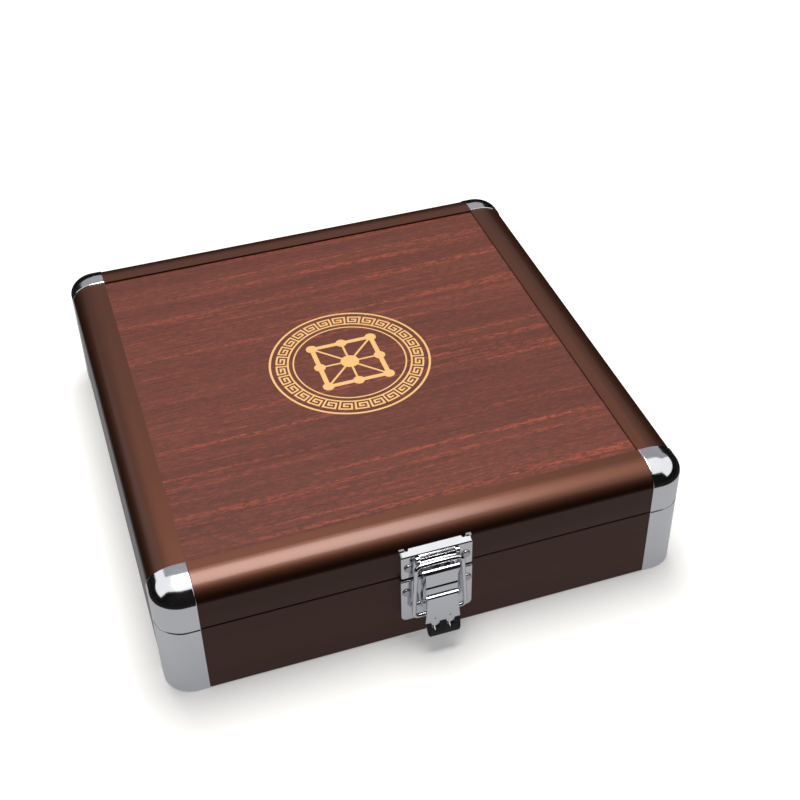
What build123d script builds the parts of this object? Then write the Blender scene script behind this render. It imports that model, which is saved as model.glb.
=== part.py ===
from build123d import *
from math import acos, degrees, hypot, sqrt
import os

# Hinged presentation case for a set of large board game pieces.
# Millimetres, +Z up, front towards -Y, origin at the centre of the underside.

# ---------------------------------------------------------------- case sizes
case_width = 223.0  # over the corner pieces, along X
case_depth = 228.0  # over the corner pieces, along Y
base_height = 35.5  # floor to the top edge of the base
parting_gap = 0.15  # seam between base and lid
lid_height = 21.35  # lid's lower edge to the top of its corner pieces
corner_leg = 16.6  # how far each corner piece runs along both sides
corner_radius = 12.0  # upright outer edge of the corner pieces
shoulder_drop = 8.0  # the lid's top curves down this far, over the width of corner_radius
corner_proud = 0.4  # how far the corner pieces stand out from the rails
corner_rim = 0.45  # rounding on the open edges of the corner pieces

# ---------------------------------------------------------- walls and panels
rail_wall = 1.2  # extruded aluminium rail
rail_edge = 0.3  # eased outer edges of the rails
rail_rim = 0.5  # rounding of the base rails' upper edge
panel_lip = 1.0  # thickness of the rail lip above the lid panel
panel_thickness = 3.0
panel_tuck = 6.0  # how far the lid panel reaches under the rail lip
panel_fit = 0.1  # play of a panel, pad or board in its seat
ledge_thickness = 1.0  # rail ledge below the lid panel
rib_thickness = 1.0  # rail rib behind the panel's edge
bottom_thickness = 3.0  # bottom board above the rail feet
board_thickness = 3.0  # inner wall boards
lining_thickness = 0.8  # flocked lining on the wall boards
floor_lining_thickness = 1.0
pad_thickness = 2.8  # padded lining under the lid panel
pad_corner_radius = 3.0
lip_rise = 2.0  # base wall boards stand this far into the lid
lip_clearance = 0.4  # sideways play of that lip
lip_top_gap = 0.5  # room between the lip and the lid's boards
lug_length = 8.0  # plug-in lug of a corner piece, past its leg
lug_root = 4.0  # lug overlap with the corner's own wall
lug_gap = 0.3  # room between a lug and the next board

# -------------------------------------------------------- latch plates, hook
sheet = 0.9  # pressed steel sheet of the latch
press_radius = 0.6  # pressed outer edges of keeper and plate
keeper_width = 30.0
keeper_height = 12.1  # at its face
keeper_slope = 1.6  # the keeper's top flange climbs this much to the rail
keeper_proud = 3.0  # face of the keeper, from the rail
keeper_gap = 1.5  # keeper's lower edge above the base plate
keeper_corner = 0.8
keeper_tab_width = 2.2
keeper_tab_rise = 0.5
keeper_notch_radius = 0.9
keeper_rivet_inset = 3.0  # from the keeper's side edges
keeper_rivet_rise = 5.9  # above the keeper's lower edge
plate_width = 30.4
plate_height = 23.2
plate_proud = 2.9  # face of the base plate, from the rail
plate_drop = 0.1  # base plate's upper edge below the base's edge
plate_corner = 2.4  # lower corners of the base plate
plate_rivet_inset = 2.4  # from the base plate's side edges
plate_rivet_drop = 6.5  # below the base plate's upper edge
hook_half = 8.2  # half the length of the keeper's hook
hook_lift = 0.25  # middle of the hook above the bail's bar
hook_height = 1.6
hook_top_proud = 0.3  # upper edge of the hook's ramp, from the keeper's face
hook_proud = 1.35  # lower edge of that ramp
claw_width = 1.5
claw_height = 4.2
claw_proud = 1.4
claw_clearance = 0.35  # bail's bar stands this far off the claws
hook_round = 0.2
claw_round = 0.7  # rounding of the claws, as a share of their reach

# -------------------------------------------------------- lever, pin and bail
pivot_out = 7.2  # lever pivot, outward from the rail's face
pivot_rise = 6.5  # lever pivot above the base's edge
pin_radius = 0.8
pin_play = 0.05  # running clearance on the radius
pin_head_rise = 0.15
roll_radius = 1.5  # rolled upper end of the lever, around its pin
roll_half = 6.7
ear_clearance = 0.15  # between the roll and the base plate's ears
ear_thickness = 0.75
ear_root = 9.5  # lower end of the ear's root below the plate's top edge
ear_shoulder = 2.4  # upper end of the ear's root below that edge
wire_radius = 0.95
bail_out = 6.0  # bail's lower ends, outward from the rail's face
bail_drop = 24.9  # bail's lower ends below the lever pivot
bail_pass = 0.6  # room between the bail's bar and the lever's roll
bail_bow = 0.5  # rise of the bar's middle
bail_bow_radius = 100.0
bail_side_play = 1.0  # between the bail's legs and the lever pin's heads
bail_splay = 1.3  # the legs spread this far from the bar to their feet
bail_bend = 2.6  # bends beside the bar
bail_foot_bend = 1.8
bail_end_reach = 0.4  # bail's ends, past the inside of the cheeks
lever_neck_half = 6.6
lever_step_half = 6.1
lever_tab_half = 7.4
lever_lip_half = 6.8
lever_lip_corner = 2.0
lever_groove_drop = 7.4  # groove below the pivot
lever_groove = 0.35
lever_groove_half = 0.6
lever_step_drop = 12.2
lever_step = 1.3  # the tab stands this far out of the upper part's face
lever_step_fall = 0.35  # slope of the step
lever_step_hollow = 0.6  # inner rounding of the step
lever_step_round = 0.9  # outer rounding of the step
lever_bend_drop = 26.6
lever_tip_drop = 32.2
lever_tip_rise = 3.7  # the lip's tip, outward from the upper part's face
cheek_inset = 0.1  # cheeks' outer faces from the lever's edges
cheek_sheet = 0.8
cheek_lobe = 1.9  # cheek around the bail's end
cheek_top_out = 4.8  # upper end of the cheeks' rear edge
cheek_top_drop = 3.6
pocket_spacing = 6.4  # two pockets pressed back across the lever's bend
pocket_half = 1.75
pocket_drop = 2.2
pocket_wall = 0.6
pocket_draft = 0.84  # fall of a pocket's end wall for each mm outward
dimple_radius = 1.1
dimple_depth = 0.2
dimple_rise = 2.4  # above the bend

# ------------------------------------------------------------------- hinges
hinge_inset = 49.5  # hinge centres, from the case's sides
hinge_width = 30.0
hinge_sheet = 1.0
hinge_lid_leaf = 11.5
hinge_base_leaf = 16.0
hinge_leaf_corner = 2.0
knuckle_radius = 2.2
knuckle_standoff = 0.3  # knuckle from the rails' face
knuckle_count = 5
knuckle_gap = 0.2
knuckle_relief = 0.4
hinge_pin_radius = 1.0
hinge_pin_play = 0.05
hinge_rivet_x = 9.5  # rivets, either side of a hinge's middle
hinge_rivet_inset = 4.5  # from the free edge of a leaf

# ------------------------------------------------------------------- rivets
rivet_shank = 1.1
rivet_head = 1.9
rivet_rise = 0.7
rivet_dome = 0.85  # rounding of a head, as a share of its rise
rivet_play = 0.05

# ------------------------------------------------------------- derived levels
shell_wall = corner_proud + rail_wall
wall_board_face = shell_wall + board_thickness
wall_face = wall_board_face + lining_thickness
lid_bottom = base_height + parting_gap
case_height = lid_bottom + lid_height
rail_top = case_height - corner_proud
lid_curve_start = case_height - shoulder_drop
panel_top = rail_top - panel_lip
panel_bottom = panel_top - panel_thickness
ledge_top = panel_bottom - panel_fit
ledge_bottom = ledge_top - ledge_thickness
pad_bottom = ledge_bottom - panel_fit - pad_thickness
panel_edge = corner_leg - panel_tuck
slot_end = panel_edge - panel_fit
bottom_board_top = rail_wall + bottom_thickness
lip_top = base_height + lip_rise
lid_board_bottom = lip_top + lip_top_gap
board_inset = corner_leg + lug_length + lug_gap
front_face = case_depth / 2 - corner_proud

# -------------------------------------------------------------- derived latch
plate_top = base_height - plate_drop
keeper_bottom = plate_top + keeper_gap
keeper_top = keeper_bottom + keeper_height
keeper_peak = keeper_top + keeper_slope
keeper_tab_x = keeper_width / 2 - keeper_tab_width / 2
keeper_notch_x = keeper_width / 2 - keeper_tab_width - keeper_notch_radius
keeper_rivet_x = keeper_width / 2 - keeper_rivet_inset
keeper_rivet_z = keeper_bottom + keeper_rivet_rise
plate_rivet_x = plate_width / 2 - plate_rivet_inset
plate_rivet_z = plate_top - plate_rivet_drop
pivot_z = base_height + pivot_rise
ear_middle = roll_half + ear_clearance + ear_thickness / 2
ear_outer = ear_middle + ear_thickness / 2
bail_z = pivot_z - bail_drop
bail_reach = hypot(pivot_out - bail_out, bail_drop) + roll_radius + wire_radius + bail_pass
bail_rise = bail_reach + bail_bow
bar_out = keeper_proud + claw_proud + claw_clearance + wire_radius
bar_z = bail_z + sqrt(bail_rise**2 - (bail_out - bar_out) ** 2)
bail_top_half = ear_outer + pin_head_rise + bail_side_play + wire_radius
bail_foot_half = bail_top_half + bail_splay
hook_z = bar_z + hook_lift
lever_face = pivot_out + roll_radius
neck_z = pivot_z - roll_radius
groove_z = pivot_z - lever_groove_drop
step_z = pivot_z - lever_step_drop
bend_z = pivot_z - lever_bend_drop
bend_out = lever_face + lever_step
tip_z = pivot_z - lever_tip_drop
tip_out = lever_face + lever_tip_rise
cheek_outer = lever_neck_half - cheek_inset
cheek_middle = cheek_outer - cheek_sheet / 2
bail_end_x = cheek_outer - cheek_sheet - bail_end_reach

# ------------------------------------------------------------- derived hinges
hinge_x = case_width / 2 - hinge_inset
hinge_z = base_height + parting_gap / 2
hinge_out = knuckle_radius + knuckle_standoff
knuckle_width = hinge_width / knuckle_count
lid_rivet_z = hinge_z + hinge_lid_leaf - hinge_rivet_inset
base_rivet_z = hinge_z - hinge_base_leaf + hinge_rivet_inset

# ---------------------------------------------------------------- directions
up = Vector(0, 0, 1)
# side: its inward direction, the case's size across it and along it
sides = {
    "front": (Vector(0, 1, 0), case_depth, case_width),
    "back": (Vector(0, -1, 0), case_depth, case_width),
    "left": (Vector(1, 0, 0), case_width, case_depth),
    "right": (Vector(-1, 0, 0), case_width, case_depth),
}
# corner: direction along one of its sides, and the signs of its X and Y
corners = {
    "front_left": (Vector(1, 0, 0), -1, -1),
    "front_right": (Vector(0, 1, 0), 1, -1),
    "back_right": (Vector(-1, 0, 0), 1, 1),
    "back_left": (Vector(0, -1, 0), -1, 1),
}


def side_plane(side):
    """Section plane at the middle of one side: local x runs inward, local y up."""
    inward, across, along = sides[side]
    return Plane(origin=inward * (-across / 2), x_dir=inward, z_dir=inward.cross(up))


def corner_plane(corner, height):
    """Plan plane at one outer corner: local x and y run along the two sides."""
    along, sign_x, sign_y = corners[corner]
    point = (sign_x * case_width / 2, sign_y * case_depth / 2, height)
    return Plane(origin=point, x_dir=along, z_dir=up)


def latch_section(x=0.0):
    """Upright section across the latch: local x runs out of the front, local y up."""
    return Plane(origin=(x, -front_face, 0), x_dir=(0, -1, 0), z_dir=(-1, 0, 0))


def front_plane(out=0.0):
    """Plane parallel to the front face, this far out of it: local y is up."""
    return Plane(origin=(0, -front_face - out, 0), x_dir=(1, 0, 0), z_dir=(0, -1, 0))


def back_plane(out=0.0):
    """Plane parallel to the back face, this far out of it: local y is up."""
    return Plane(origin=(0, front_face + out, 0), x_dir=(-1, 0, 0), z_dir=(0, 1, 0))


def hinge_section(x):
    """Upright section across a hinge: local x runs out of the back, local y up."""
    return Plane(origin=(x, front_face, 0), x_dir=(0, 1, 0), z_dir=(1, 0, 0))


def finish(part, name):
    part.label = name
    export_step(part, "parts/" + name + ".step")


os.makedirs("parts", exist_ok=True)

# ------------------------------------------------------------- rivet positions
# Where the latch and the hinges are riveted through the rails.
keeper_rivets = [(-keeper_rivet_x, keeper_rivet_z), (keeper_rivet_x, keeper_rivet_z)]
plate_rivets = [(-plate_rivet_x, plate_rivet_z), (plate_rivet_x, plate_rivet_z)]
hinge_rivet_xs = [middle + x for middle in (-hinge_x, hinge_x) for x in (-hinge_rivet_x, hinge_rivet_x)]
base_rivets = [(x, base_rivet_z) for x in hinge_rivet_xs]
lid_rivets = [(x, lid_rivet_z) for x in hinge_rivet_xs]
base_rail_holes = {"front": (front_plane(), plate_rivets), "back": (back_plane(), base_rivets)}
lid_rail_holes = {"front": (front_plane(), keeper_rivets), "back": (back_plane(), lid_rivets)}


# ----------------------------------------------------------------- base rails
# Extruded aluminium: an upright web with a foot that carries the bottom board.
def base_rail(side):
    along = sides[side][2]
    with BuildPart() as rail:
        with BuildSketch(side_plane(side)) as section:
            with BuildLine():
                Polyline(
                    (corner_proud, 0),
                    (wall_face, 0),
                    (wall_face, rail_wall),
                    (shell_wall, rail_wall),
                    (shell_wall, base_height),
                    (corner_proud, base_height),
                    close=True,
                )
            make_face()
            chamfer(section.vertices().group_by(Axis.X)[0].sort_by(Axis.Y)[0], length=rail_edge)
            fillet(section.vertices().sort_by_distance((corner_proud, base_height))[0], radius=rail_rim)
        extrude(amount=along / 2 - corner_leg, both=True)
        if side in base_rail_holes:
            plane, points = base_rail_holes[side]
            with BuildSketch(plane):
                with Locations(*points):
                    Circle(rivet_shank + rivet_play)
            extrude(amount=-rail_wall, mode=Mode.SUBTRACT)
    return rail.part


# ------------------------------------------------------------------ lid rails
# Extruded aluminium: web, rounded edge, and a slot that holds the lid panel.
def lid_rail(side):
    along = sides[side][2]
    centre = (corner_radius, lid_curve_start)
    half_width, half_height = corner_radius - corner_proud, rail_top - lid_curve_start
    rib_face = slot_end - rib_thickness
    rib_turn = degrees(acos((rib_face - corner_radius) / (half_width - rail_wall)))
    with BuildPart() as rail:
        with BuildSketch(side_plane(side)) as section:
            with BuildLine():
                inner_size = (half_width - rail_wall, half_height - rail_wall)
                inner = EllipticalCenterArc(centre, *inner_size, rib_turn, arc_size=180 - rib_turn)
                Line((corner_proud, lid_bottom), (corner_proud, lid_curve_start))
                EllipticalCenterArc(centre, half_width, half_height, 90, arc_size=90)
                Polyline(
                    (centre[0], rail_top),
                    (corner_leg, rail_top),
                    (corner_leg, panel_top),
                    (slot_end, panel_top),
                    (slot_end, ledge_top),
                    (corner_leg, ledge_top),
                    (corner_leg, ledge_bottom),
                    (rib_face, ledge_bottom),
                    inner @ 0,
                )
                Polyline(
                    (shell_wall, lid_curve_start),
                    (shell_wall, lid_bottom),
                    (corner_proud, lid_bottom),
                )
            make_face()
            lower_edge = section.vertices().group_by(Axis.X)[0].sort_by(Axis.Y)[0]
            chamfer(lower_edge, length=rail_edge)
        extrude(amount=along / 2 - corner_leg, both=True)
        if side in lid_rail_holes:
            plane, points = lid_rail_holes[side]
            with BuildSketch(plane):
                with Locations(*points):
                    Circle(rivet_shank + rivet_play)
            extrude(amount=-rail_wall, mode=Mode.SUBTRACT)
    return rail.part


# --------------------------------------------------------------- corner pieces
# Plated castings: a rounded shell over the rails' ends, with two plug-in lugs.
def corner_block(corner, inset, reach, bottom, top):
    with BuildPart() as block:
        with BuildSketch(corner_plane(corner, bottom)) as plan:
            with Locations((inset, inset)):
                Rectangle(reach - inset, reach - inset, align=(Align.MIN, Align.MIN))
            outer = plan.vertices().sort_by_distance((0, 0, 0))[0]
            fillet(outer, radius=corner_radius - inset)
        extrude(amount=top - bottom)
    return block.part


def domed_block(corner, inset, reach, bottom, top):
    """Block whose top curves down to its outer sides in a quarter of an ellipse."""
    centre = (corner_radius, lid_curve_start)
    turning = Axis((corner_radius, corner_radius, 0), (0, 0, 1))
    with BuildPart() as block:
        with BuildSketch(Plane.XY.offset(bottom)):
            with Locations((corner_radius, corner_radius)):
                Rectangle(reach - corner_radius, reach - corner_radius, align=(Align.MIN, Align.MIN))
        extrude(amount=top - bottom)
        run = reach - corner_radius
        strips = ((Plane.XZ.offset(-corner_radius), -run), (Plane.YZ.offset(corner_radius), run))
        for plane, amount in strips:
            with BuildSketch(plane) as shoulder:
                with BuildLine():
                    EllipticalCenterArc(centre, corner_radius - inset, top - lid_curve_start, 90, arc_size=90)
                    Polyline((inset, lid_curve_start), (inset, bottom), (corner_radius, bottom), (corner_radius, top))
                make_face()
            extrude(amount=amount)
            if amount < 0:
                revolve(shoulder.sketch, axis=turning, revolution_arc=90)
    return corner_plane(corner, 0).location * block.part


def corner_piece(shell, core, corner, seam_z, lug_bottom, lug_top):
    """Shell eased where it meets the rails and at the seam, hollowed, with two lugs."""
    with BuildPart() as piece:
        add(shell)
        ends = piece.edges().filter_by(Axis.Z).sort_by_distance(corner_plane(corner, 0).origin)[2:4]
        seam = piece.edges().filter_by_position(Axis.Z, seam_z, seam_z).sort_by_distance((0, 0, seam_z))[-3:]
        fillet(ends + seam, radius=corner_rim)
        add(core, mode=Mode.SUBTRACT)
        with BuildSketch(corner_plane(corner, lug_bottom)):
            with Locations((corner_leg - lug_root, shell_wall)):
                Rectangle(lug_root + lug_length, board_thickness, align=(Align.MIN, Align.MIN))
            with Locations((shell_wall, corner_leg - lug_root)):
                Rectangle(board_thickness, lug_root + lug_length, align=(Align.MIN, Align.MIN))
        extrude(amount=lug_top - lug_bottom)
    return piece.part


def base_corner(corner):
    shell = corner_block(corner, 0, corner_leg, 0, base_height)
    reach = corner_leg + lug_gap
    core = corner_block(corner, shell_wall, reach, rail_wall, base_height)
    with BuildPart() as hollow:
        add(core)
        with BuildSketch(corner_plane(corner, 0)):
            with Locations((wall_face, wall_face)):
                Rectangle(reach - wall_face, reach - wall_face, align=(Align.MIN, Align.MIN))
        extrude(amount=rail_wall)
    return corner_piece(shell, hollow.part, corner, base_height, bottom_board_top, base_height)


def lid_corner(corner):
    shell = domed_block(corner, 0, corner_leg, lid_bottom, case_height)
    reach = corner_leg + lug_gap
    core = domed_block(corner, shell_wall, reach, lid_bottom, panel_top)
    with BuildPart() as hollow:
        add(core)
        with BuildSketch(corner_plane(corner, lid_curve_start)):
            with Locations((slot_end, slot_end)):
                Rectangle(reach - slot_end, reach - slot_end, align=(Align.MIN, Align.MIN))
        extrude(amount=panel_top - lid_curve_start)
    return corner_piece(shell, hollow.part, corner, lid_bottom, lid_board_bottom, lid_curve_start)


for side in sides:
    finish(base_rail(side), "base_rail_" + side)
    finish(lid_rail(side), "lid_rail_" + side)
for corner in corners:
    finish(base_corner(corner), "base_corner_" + corner)
    finish(lid_corner(corner), "lid_corner_" + corner)

# ---------------------------------------------------------------- bottom panel
# Fibreboard, rebated so that its underside is level with the rails' feet.
plug_inset = wall_face + panel_fit
rebate_inset = shell_wall + panel_fit
with BuildPart() as bottom_panel:
    with BuildSketch():
        Rectangle(case_width - 2 * plug_inset, case_depth - 2 * plug_inset)
    extrude(amount=rail_wall)
    with BuildSketch(Plane.XY.offset(rail_wall)):
        rebate_radius = corner_radius - rebate_inset
        RectangleRounded(case_width - 2 * rebate_inset, case_depth - 2 * rebate_inset, rebate_radius)
    extrude(amount=bottom_thickness)
finish(bottom_panel.part, "bottom_panel")


# ------------------------------------------------------- wall boards and lining
# Thin boards behind the rails. Those of the base stand up as a lip for the lid.
def wall_board(side, outline):
    with BuildPart() as board:
        with BuildSketch(side_plane(side)):
            with BuildLine():
                Polyline(*outline, close=True)
            make_face()
        extrude(amount=sides[side][2] / 2 - board_inset, both=True)
    return board.part


def wall_lining(side, bottom, top):
    with BuildPart() as lining:
        with BuildSketch(side_plane(side)):
            with Locations((wall_board_face, bottom)):
                Rectangle(lining_thickness, top - bottom, align=(Align.MIN, Align.MIN))
        extrude(amount=sides[side][2] / 2 - wall_face, both=True)
    return lining.part


base_board_outline = [
    (shell_wall, bottom_board_top),
    (wall_board_face, bottom_board_top),
    (wall_board_face, lip_top),
    (shell_wall + lip_clearance, lip_top),
    (shell_wall + lip_clearance, base_height),
    (shell_wall, base_height),
]
lid_board_outline = [
    (shell_wall, lid_board_bottom),
    (wall_board_face, lid_board_bottom),
    (wall_board_face, lid_curve_start),
    (shell_wall, lid_curve_start),
]
for side in sides:
    finish(wall_board(side, base_board_outline), "base_wall_board_" + side)
    finish(wall_board(side, lid_board_outline), "lid_wall_board_" + side)
    finish(wall_lining(side, bottom_board_top, lip_top), "base_lining_" + side)
    finish(wall_lining(side, lid_board_bottom, pad_bottom - panel_fit), "lid_lining_" + side)

# --------------------------------------------------------- floor lining and pad
with BuildPart() as floor_lining:
    with BuildSketch(Plane.XY.offset(bottom_board_top)):
        Rectangle(case_width - 2 * wall_face, case_depth - 2 * wall_face)
    extrude(amount=floor_lining_thickness)
finish(floor_lining.part, "floor_lining")

pad_inset = wall_board_face + panel_fit
with BuildPart() as lid_pad:
    with BuildSketch(Plane.XY.offset(pad_bottom)):
        RectangleRounded(case_width - 2 * pad_inset, case_depth - 2 * pad_inset, pad_corner_radius)
    extrude(amount=pad_thickness)
finish(lid_pad.part, "lid_pad")

# ------------------------------------------------------------------- lid panel
# Wood-faced board, held all round in the slots of the lid rails.
with BuildPart() as lid_panel:
    with BuildSketch(Plane.XY.offset(panel_bottom)):
        Rectangle(case_width - 2 * panel_edge, case_depth - 2 * panel_edge)
    extrude(amount=panel_thickness)
finish(lid_panel.part, "lid_panel")


# --------------------------------------------------------------------- rivets
# Domed rivets through a fitting and the rail behind it.
def rivets(plane, points, reach):
    with BuildPart() as group:
        with BuildSketch(plane.offset(-rail_wall)):
            with Locations(*points):
                Circle(rivet_shank)
        extrude(amount=rail_wall + reach)
        with BuildSketch(plane.offset(reach)):
            with Locations(*points):
                Circle(rivet_head)
        extrude(amount=rivet_rise)
        outward = Axis((0, 0, 0), plane.z_dir)
        fillet(group.edges().filter_by(GeomType.CIRCLE).group_by(outward)[-1], radius=rivet_rise * rivet_dome)
    return group.part


finish(rivets(front_plane(), keeper_rivets, keeper_proud), "keeper_rivets")
finish(rivets(front_plane(), plate_rivets, plate_proud), "latch_plate_rivets")
finish(rivets(back_plane(), base_rivets, hinge_sheet), "hinge_base_rivets")
finish(rivets(back_plane(), lid_rivets, hinge_sheet), "hinge_lid_rivets")

# ---------------------------------------------------------------- keeper plate
# Pressed steel tray on the lid, with the hook that takes the bail.
with BuildPart() as keeper_plate:
    with BuildSketch(latch_section()):
        with BuildLine():
            Polyline(
                (0, keeper_bottom),
                (keeper_proud, keeper_bottom),
                (keeper_proud, keeper_top),
                (0, keeper_peak),
                close=True,
            )
        make_face()
    extrude(amount=keeper_width / 2, both=True)
    ends = keeper_plate.edges().filter_by(Axis.X, reverse=True).filter_by(Axis.Z, reverse=True)
    fillet(ends, radius=keeper_corner)
    fillet(keeper_plate.faces().sort_by(Axis.Y)[0].edges(), radius=press_radius)
    hollow_out = keeper_proud - sheet
    with BuildSketch(latch_section()):
        with BuildLine():
            Polyline(
                (0, keeper_bottom + sheet),
                (hollow_out, keeper_bottom + sheet),
                (hollow_out, keeper_top - sheet + keeper_slope * sheet / keeper_proud),
                (0, keeper_peak - sheet),
                close=True,
            )
        make_face()
    extrude(amount=keeper_width / 2 - sheet, both=True, mode=Mode.SUBTRACT)
    tab_foot = keeper_peak - sheet / 2
    with BuildSketch(front_plane()):
        with Locations((-keeper_tab_x, tab_foot), (keeper_tab_x, tab_foot)):
            Rectangle(keeper_tab_width, keeper_tab_rise + sheet / 2, align=(Align.CENTER, Align.MIN))
    extrude(amount=sheet)
    with BuildSketch(Plane.XY.offset(keeper_peak)):
        with Locations((-keeper_notch_x, -front_face), (keeper_notch_x, -front_face)):
            Circle(keeper_notch_radius)
    extrude(amount=-keeper_slope - sheet, mode=Mode.SUBTRACT)
    hook_root = keeper_proud - sheet / 2
    with BuildSketch(latch_section()) as hook:
        with BuildLine():
            Polyline(
                (hook_root, hook_z - hook_height / 2),
                (keeper_proud + hook_proud, hook_z - hook_height / 2),
                (keeper_proud + hook_top_proud, hook_z + hook_height / 2),
                (hook_root, hook_z + hook_height / 2),
                close=True,
            )
        make_face()
        fillet(hook.vertices().sort_by(Axis.X)[-2:], radius=hook_round)
    extrude(amount=hook_half, both=True)
    for x in (-hook_half, hook_half):
        with BuildSketch(latch_section(x)) as claw:
            with Locations((hook_root, hook_z)):
                Rectangle(claw_proud + sheet / 2, claw_height, align=(Align.MIN, Align.CENTER))
            fillet(claw.vertices().group_by(Axis.X)[-1], radius=claw_proud * claw_round)
        extrude(amount=claw_width / 2, both=True)
    with BuildSketch(front_plane(keeper_proud - sheet)):
        with Locations(*keeper_rivets):
            Circle(rivet_shank + rivet_play)
    extrude(amount=sheet, mode=Mode.SUBTRACT)
finish(keeper_plate.part, "keeper_plate")

# ------------------------------------------------------------ latch base plate
# Pressed steel tray on the base, with two ears that carry the lever's pin.
with BuildPart() as latch_base_plate:
    with BuildSketch(front_plane()) as tray:
        with Locations((0, plate_top - plate_height / 2)):
            Rectangle(plate_width, plate_height)
        fillet(tray.vertices().group_by(Axis.Y)[0], radius=plate_corner)
        fillet(tray.vertices().group_by(Axis.Y)[-1], radius=keeper_corner)
    extrude(amount=plate_proud)
    fillet(latch_base_plate.faces().sort_by(Axis.Y)[0].edges(), radius=press_radius)
    with BuildSketch(front_plane()) as hollow:
        with Locations((0, plate_top - plate_height / 2)):
            Rectangle(plate_width - 2 * sheet, plate_height - 2 * sheet)
        fillet(hollow.vertices().group_by(Axis.Y)[0], radius=plate_corner - sheet)
    extrude(amount=plate_proud - sheet, mode=Mode.SUBTRACT)
    ear_foot = plate_proud - sheet / 2
    for x in (-ear_middle, ear_middle):
        with BuildSketch(latch_section(x)):
            with BuildLine():
                Polyline(
                    (ear_foot, plate_top - ear_root),
                    (pivot_out + roll_radius, pivot_z),
                    (pivot_out - roll_radius, pivot_z),
                    (ear_foot, plate_top - ear_shoulder),
                    close=True,
                )
            make_face()
            with Locations((pivot_out, pivot_z)):
                Circle(roll_radius)
        extrude(amount=ear_thickness / 2, both=True)
    with BuildSketch(latch_section()):
        with Locations((pivot_out, pivot_z)):
            Circle(pin_radius + pin_play)
    extrude(amount=plate_width / 2, both=True, mode=Mode.SUBTRACT)
    with BuildSketch(front_plane(plate_proud - sheet)):
        with Locations(*plate_rivets):
            Circle(rivet_shank + rivet_play)
    extrude(amount=sheet, mode=Mode.SUBTRACT)
finish(latch_base_plate.part, "latch_base_plate")

# ------------------------------------------------------------------- lever pin
# Steel pin through both ears and the lever's roll.
with BuildPart() as lever_pin:
    with BuildSketch(latch_section()):
        with Locations((pivot_out, pivot_z)):
            Circle(pin_radius)
    extrude(amount=ear_outer + pin_head_rise, both=True)
    fillet(lever_pin.edges().filter_by(GeomType.CIRCLE), radius=pin_head_rise)
finish(lever_pin.part, "lever_pin")

# ----------------------------------------------------------------- latch lever
# Pressed steel: rolled upper end, two cheeks, and a tab that flares at its tip.
lip_slope = Vector(tip_out - bend_out, tip_z - bend_z).normalized()
lever_front = [
    (lever_face, pivot_z),
    (lever_face, groove_z + lever_groove_half),
    (lever_face - lever_groove, groove_z),
    (lever_face, groove_z - lever_groove_half),
    (lever_face, step_z + lever_step_fall),
    (bend_out, step_z),
    (bend_out, bend_z),
    (tip_out, tip_z),
]
lever_back = [
    (tip_out + sheet * lip_slope.Y, tip_z - sheet * lip_slope.X),
    (bend_out - sheet, bend_z),
    (bend_out - sheet, step_z - sheet),
    (lever_face - sheet, step_z),
    (lever_face - sheet, pivot_z),
]
pockets = [(-pocket_spacing / 2, bend_z), (pocket_spacing / 2, bend_z)]
pocket_way = (0, -1, -pocket_draft)
with BuildPart() as pocket_backs:
    with BuildSketch(front_plane(bend_out - sheet)):
        with Locations((0, sheet * pocket_draft)):
            with Locations(*pockets):
                Ellipse(pocket_half + pocket_wall, pocket_drop + pocket_wall)
    extrude(amount=3 * pocket_drop, dir=pocket_way)
    with BuildSketch(latch_section()):
        with BuildLine():
            Polyline(
                (0, bend_z),
                (bend_out, bend_z),
                (2 * tip_out - bend_out, 2 * tip_z - bend_z),
                (2 * tip_out, 2 * tip_z - bend_z),
                (2 * tip_out, step_z),
                (0, step_z),
                close=True,
            )
        make_face()
    extrude(amount=lever_tab_half, both=True, mode=Mode.SUBTRACT)
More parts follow.
